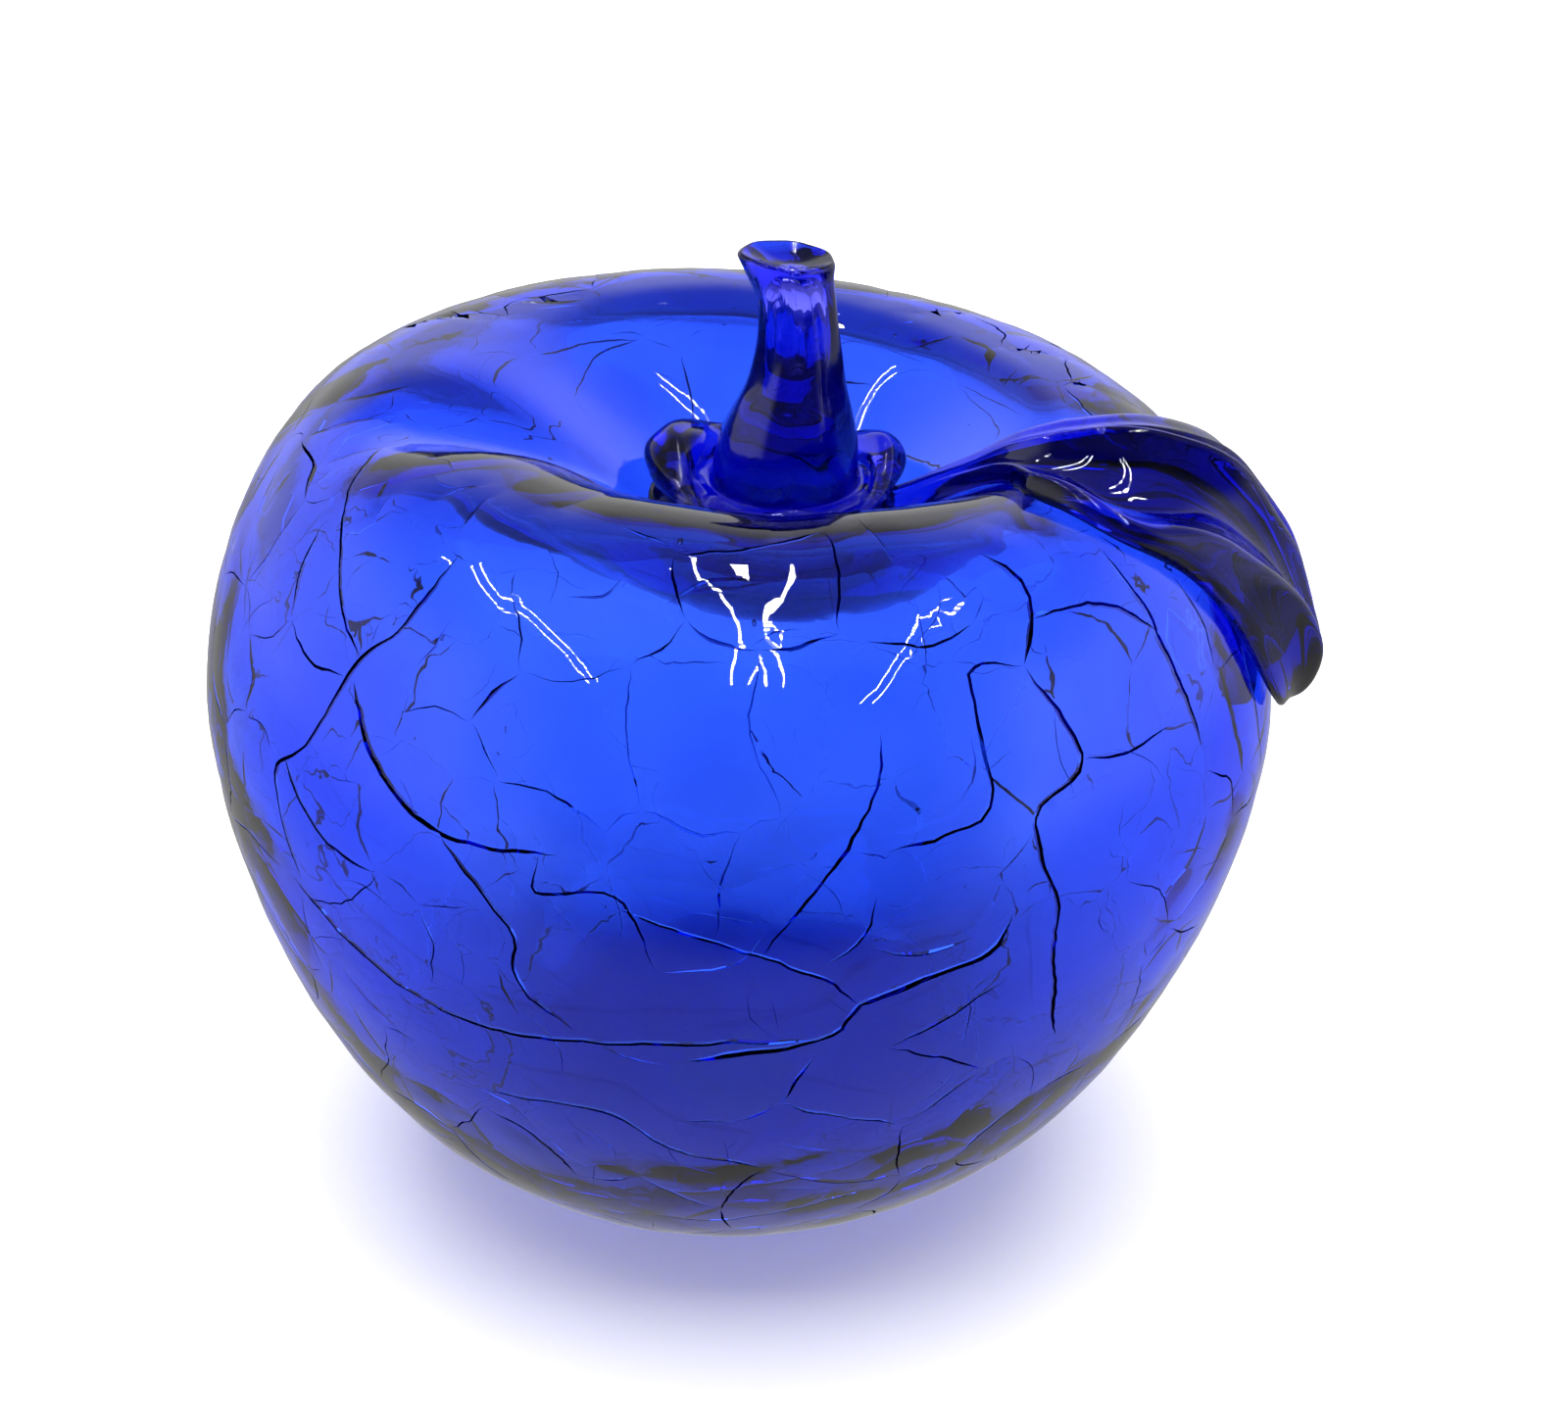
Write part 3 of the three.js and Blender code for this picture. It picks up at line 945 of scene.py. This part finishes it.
def leaf_top(share, across):
    """Height of the leaf's upper face as a share of its thickness; across is -1 to 1."""
    height = np.full(len(across), LEAF_BASE)
    for (near, far), centres, heights in LEAF_RIDGES:
        centre = through(centres, share)
        away = across - centre
        width = np.where(away < 0, near, far)
        height += through(heights, share) / (1 + (away / width) ** 2)
    centre, width, place, length, depth = POCKET
    away = ((across - centre) / width) ** 2 + ((share - place) / length) ** 2
    return height - depth * np.exp(-away)


def leaf_mesh():
    """The section runs round the leaf: ridged top first, then the flat underside."""
    top = np.linspace(0, 1, 110)
    bottom = np.linspace(1, 0, 34)[1:-1]
    shares = np.linspace(0, 1, 190)
    rings = []
    for share in shares:
        station = through(LEAF_STATIONS, share)
        _, _, half_width, thickness, lift = station
        end = math.sqrt(max(1 - (1 - min(share * 14, (1 - share) * 11, 1)) ** 2, 0))
        across_top = -np.cos(math.pi * top)
        across_bottom = -np.cos(math.pi * bottom)
        wobble = 0.04 * math.sin(23 * share) + 0.03 * math.sin(41 * share + 1)
        edge = 1 - across_top**2
        rise = leaf_top(share, across_top) * edge**0.3
        height_top = lift + thickness * (rise * end * (1 + wobble) - 0.12)
        sunk = LEAF_SINK + (TIP_LIFT - LEAF_SINK) * smoothstep(share, 0.84, 0.97)
        height_bottom = sunk + (lift - 0.12 * thickness - sunk) * (1 - (1 - across_bottom**2) ** 0.3 * end)
        across = np.concatenate([across_top, across_bottom]) * half_width * end
        height = np.concatenate([height_top, height_bottom])
        rings.append(on_leaf(station, across, height))
    return capped(rings[0].mean(axis=0), rings[1:-1], rings[-1].mean(axis=0))


body = make_piece("crackled_body", *body_mesh(), ("apple_body",), "body_glass", sharp=True)
stem = make_piece("stem_and_apron", *stem_mesh(), ("stem", "stem_gather"), "applied_glass")
wrap = make_piece("root_wrap", *wrap_mesh(), ("leaf_wrap",), "applied_glass")
leaf = make_piece("ridged_leaf", *leaf_mesh(), ("leaf",), "applied_glass")


# ---------- Materials ----------


ROUGHNESS = 0.008


def glass(name, tint, absorb):
    """Clear glass whose colour comes from its thickness. absorb is per metre for red, green, blue."""
    material = bpy.data.materials.new(name)
    material.use_nodes = True
    nodes = material.node_tree.nodes
    links = material.node_tree.links
    shader = nodes["Principled BSDF"]
    shader.inputs["Transmission Weight"].default_value = 1
    shader.inputs["IOR"].default_value = 1.5
    place = nodes.new("ShaderNodeTexCoord")
    streaks = nodes.new("ShaderNodeTexNoise")
    streaks.inputs["Scale"].default_value = 60
    streaks.inputs["Detail"].default_value = 4
    links.new(place.outputs["Object"], streaks.inputs["Vector"])
    colour = nodes.new("ShaderNodeValToRGB")
    colour.color_ramp.elements[0].position = 0.35
    colour.color_ramp.elements[0].color = (*[0.9 * c for c in tint], 1)
    colour.color_ramp.elements[1].position = 0.65
    colour.color_ramp.elements[1].color = (*tint, 1)
    links.new(streaks.outputs["Fac"], colour.inputs["Fac"])
    links.new(colour.outputs["Color"], shader.inputs["Base Color"])
    gloss = nodes.new("ShaderNodeMapRange")
    gloss.inputs["To Min"].default_value = ROUGHNESS * 0.4
    gloss.inputs["To Max"].default_value = ROUGHNESS * 1.6
    links.new(streaks.outputs["Fac"], gloss.inputs["Value"])
    links.new(gloss.outputs["Result"], shader.inputs["Roughness"])
    ripple = nodes.new("ShaderNodeTexNoise")
    ripple.inputs["Scale"].default_value = 220
    ripple.inputs["Detail"].default_value = 2
    links.new(place.outputs["Object"], ripple.inputs["Vector"])
    bump = nodes.new("ShaderNodeBump")
    bump.inputs["Strength"].default_value = 0.15
    bump.inputs["Distance"].default_value = 0.0001
    links.new(ripple.outputs["Fac"], bump.inputs["Height"])
    links.new(bump.outputs["Normal"], shader.inputs["Normal"])
    density = max(absorb)
    volume = nodes.new("ShaderNodeVolumeAbsorption")
    volume.inputs["Color"].default_value = (*[1 - a / density for a in absorb], 1)
    volume.inputs["Density"].default_value = density
    links.new(volume.outputs["Volume"], nodes["Material Output"].inputs["Volume"])
    return material


def paint(piece, material):
    piece.data.materials.clear()
    piece.data.materials.append(material)


body_glass = glass("crackle_body_glass", (0.96, 0.98, 1), (470, 310, 50))
applied_glass = glass("applied_deep_glass", (0.95, 0.95, 1), (520, 520, 72))
paint(body, body_glass)
for piece in (stem, wrap, leaf):
    paint(piece, applied_glass)

# ---------- Studio ----------

WALL_LIGHT = 1.3
CEILING_LIGHT = 0.3
OPENING = (0, -0.94, 0.34)
OPENING_LIGHT = 0.08
BELOW_LIGHT = 0.5
MIRRORED = 0.7
# The walls are dimmed to MIRRORED of their strength where the glass mirrors them
FLOOR_GLOW = 0.26
OVERHEAD_WATTS = 30
CEILING = 0.75
OVERHEAD_SIZE = 1.5
OVERHEAD_PLACE = (0, 0.15, 1.1)
LED_PITCH = 0.024
LED_WIDTH = 0.007
LED_SPREAD = 0.024
LED_STRENGTH = 3

# Pairs of diode rows: name, place across, front and back ends
LED_STRIPS = [("left", -0.5, -0.6, 0.18), ("middle", 0.02, -0.55, 0.4), ("right", 0.4, -0.74, 0.1)]


def floor():
    mesh = bpy.data.meshes.new("floor")
    mesh.from_pydata([(-3, -3, 0), (3, -3, 0), (3, 3, 0), (-3, 3, 0)], [], [(0, 1, 2, 3)])
    piece = bpy.data.objects.new("floor", mesh)
    piece.location.z = -0.0002
    bpy.context.scene.collection.objects.link(piece)
    material = bpy.data.materials.new("studio_white")
    material.use_nodes = True
    shader = material.node_tree.nodes["Principled BSDF"]
    shader.inputs["Base Color"].default_value = (0.93, 0.93, 0.94, 1)
    shader.inputs["Roughness"].default_value = 0.9
    shader.inputs["Specular IOR Level"].default_value = 0.1
    shader.inputs["Emission Color"].default_value = (0.86, 0.84, 1, 1)
    shader.inputs["Emission Strength"].default_value = FLOOR_GLOW
    mesh.materials.append(material)
    piece.visible_glossy = False


def world():
    """White walls round the horizon, a dim ceiling and a dark opening towards -Y, where one looks in.

    Below the horizon it is only seen in reflections, because the floor isn't mirrored.
    """
    scene = bpy.context.scene
    scene.world = bpy.data.worlds.new("light_tent")
    scene.world.use_nodes = True
    nodes = scene.world.node_tree.nodes
    links = scene.world.node_tree.links
    place = nodes.new("ShaderNodeTexCoord")
    height = nodes.new("ShaderNodeSeparateXYZ")
    links.new(place.outputs["Generated"], height.inputs["Vector"])
    walls = nodes.new("ShaderNodeMapRange")
    walls.interpolation_type = "SMOOTHSTEP"
    walls.inputs["From Min"].default_value = 0.35
    walls.inputs["From Max"].default_value = 0.75
    walls.inputs["To Min"].default_value = WALL_LIGHT
    walls.inputs["To Max"].default_value = CEILING_LIGHT
    links.new(height.outputs["Z"], walls.inputs["Value"])
    front = nodes.new("ShaderNodeVectorMath")
    front.operation = "DOT_PRODUCT"
    front.inputs[1].default_value = OPENING
    links.new(place.outputs["Generated"], front.inputs[0])
    opening = nodes.new("ShaderNodeMapRange")
    opening.interpolation_type = "SMOOTHSTEP"
    opening.inputs["From Min"].default_value = 0.4
    opening.inputs["From Max"].default_value = 0.8
    opening.inputs["To Min"].default_value = 1
    opening.inputs["To Max"].default_value = OPENING_LIGHT
    links.new(front.outputs["Value"], opening.inputs["Value"])
    light = nodes.new("ShaderNodeMath")
    light.operation = "MULTIPLY"
    links.new(walls.outputs["Result"], light.inputs[0])
    links.new(opening.outputs["Result"], light.inputs[1])
    below = nodes.new("ShaderNodeMapRange")
    below.interpolation_type = "SMOOTHSTEP"
    below.inputs["From Min"].default_value = -0.3
    below.inputs["From Max"].default_value = 0
    below.inputs["To Min"].default_value = BELOW_LIGHT
    below.inputs["To Max"].default_value = 1
    links.new(height.outputs["Z"], below.inputs["Value"])
    shade = nodes.new("ShaderNodeMath")
    shade.operation = "MULTIPLY"
    links.new(light.outputs["Value"], shade.inputs[0])
    links.new(below.outputs["Result"], shade.inputs[1])
    ray = nodes.new("ShaderNodeLightPath")
    mirrored = nodes.new("ShaderNodeMapRange")
    mirrored.inputs["To Min"].default_value = 1
    mirrored.inputs["To Max"].default_value = MIRRORED
    links.new(ray.outputs["Is Glossy Ray"], mirrored.inputs["Value"])
    strength = nodes.new("ShaderNodeMath")
    strength.operation = "MULTIPLY"
    links.new(shade.outputs["Value"], strength.inputs[0])
    links.new(mirrored.outputs["Result"], strength.inputs[1])
    links.new(strength.outputs["Value"], nodes["Background"].inputs["Strength"])
    nodes["Background"].inputs["Color"].default_value = (1, 1, 1, 1)


def overhead():
    """A broad soft lamp over the tent that the glass doesn't mirror."""
    lamp = bpy.data.lights.new("overhead", "AREA")
    lamp.size = OVERHEAD_SIZE
    lamp.energy = OVERHEAD_WATTS
    piece = bpy.data.objects.new("overhead", lamp)
    piece.location = OVERHEAD_PLACE
    piece.visible_camera = False
    piece.visible_glossy = False
    bpy.context.scene.collection.objects.link(piece)


def led_row(name, x, front, back):
    """A row of bright diodes on the tent's ceiling, seen only as a reflection."""
    lamp = bpy.data.lights.new(name, "AREA")
    lamp.shape = "RECTANGLE"
    lamp.size = back - front
    lamp.size_y = LED_WIDTH
    lamp.energy = 1
    lamp.use_nodes = True
    nodes = lamp.node_tree.nodes
    links = lamp.node_tree.links
    place = nodes.new("ShaderNodeNewGeometry")
    along = nodes.new("ShaderNodeSeparateXYZ")
    links.new(place.outputs["Parametric"], along.inputs["Vector"])
    dots = nodes.new("ShaderNodeMath")
    dots.operation = "SINE"
    scaled = nodes.new("ShaderNodeMath")
    scaled.operation = "MULTIPLY"
    scaled.inputs[1].default_value = 2 * math.pi * lamp.size / LED_PITCH
    links.new(along.outputs["X"], scaled.inputs[0])
    links.new(scaled.outputs["Value"], dots.inputs[0])
    bright = nodes.new("ShaderNodeMapRange")
    bright.inputs["From Min"].default_value = 0
    bright.inputs["From Max"].default_value = 0.4
    bright.inputs["To Min"].default_value = 0.1
    bright.inputs["To Max"].default_value = LED_STRENGTH
    links.new(dots.outputs["Value"], bright.inputs["Value"])
    links.new(bright.outputs["Result"], nodes["Emission"].inputs["Strength"])
    piece = bpy.data.objects.new(name, lamp)
    middle = (front + back) / 2
    piece.matrix_world = Matrix(((0, -1, 0, x), (1, 0, 0, middle), (0, 0, 1, CEILING), (0, 0, 0, 1)))
    piece.visible_camera = False
    piece.visible_diffuse = False
    piece.visible_transmission = False
    bpy.context.scene.collection.objects.link(piece)


CAMERA_LENS = 78
CAMERA_SHIFT = (0.0348, 0.0385)
CAMERA_ELEVATION = 29.9
CAMERA_TARGET = (0, 0, 0.042)
CAMERA_DISTANCE = 0.36


def camera():
    lens = bpy.data.cameras.new("camera")
    lens.sensor_width = 36
    lens.lens = CAMERA_LENS
    lens.shift_x, lens.shift_y = CAMERA_SHIFT
    piece = bpy.data.objects.new("camera", lens)
    elevation = math.radians(CAMERA_ELEVATION)
    away = Vector((0, -math.cos(elevation), math.sin(elevation)))
    piece.location = Vector(CAMERA_TARGET) + away * CAMERA_DISTANCE
    piece.rotation_euler = (math.pi / 2 - elevation, 0, 0)
    bpy.context.scene.collection.objects.link(piece)
    bpy.context.scene.camera = piece


floor()
world()
overhead()
for side, x, front, back in LED_STRIPS:
    for row, offset in (("left", -LED_SPREAD), ("right", LED_SPREAD)):
        led_row(f"leds_{side}_{row}", x + offset, front, back)
camera()

scene = bpy.context.scene
scene.view_settings.view_transform = "Standard"
scene.cycles.max_bounces = 24
scene.cycles.transmission_bounces = 24
scene.cycles.glossy_bounces = 12
scene.cycles.diffuse_bounces = 4
scene.cycles.sample_clamp_indirect = 6
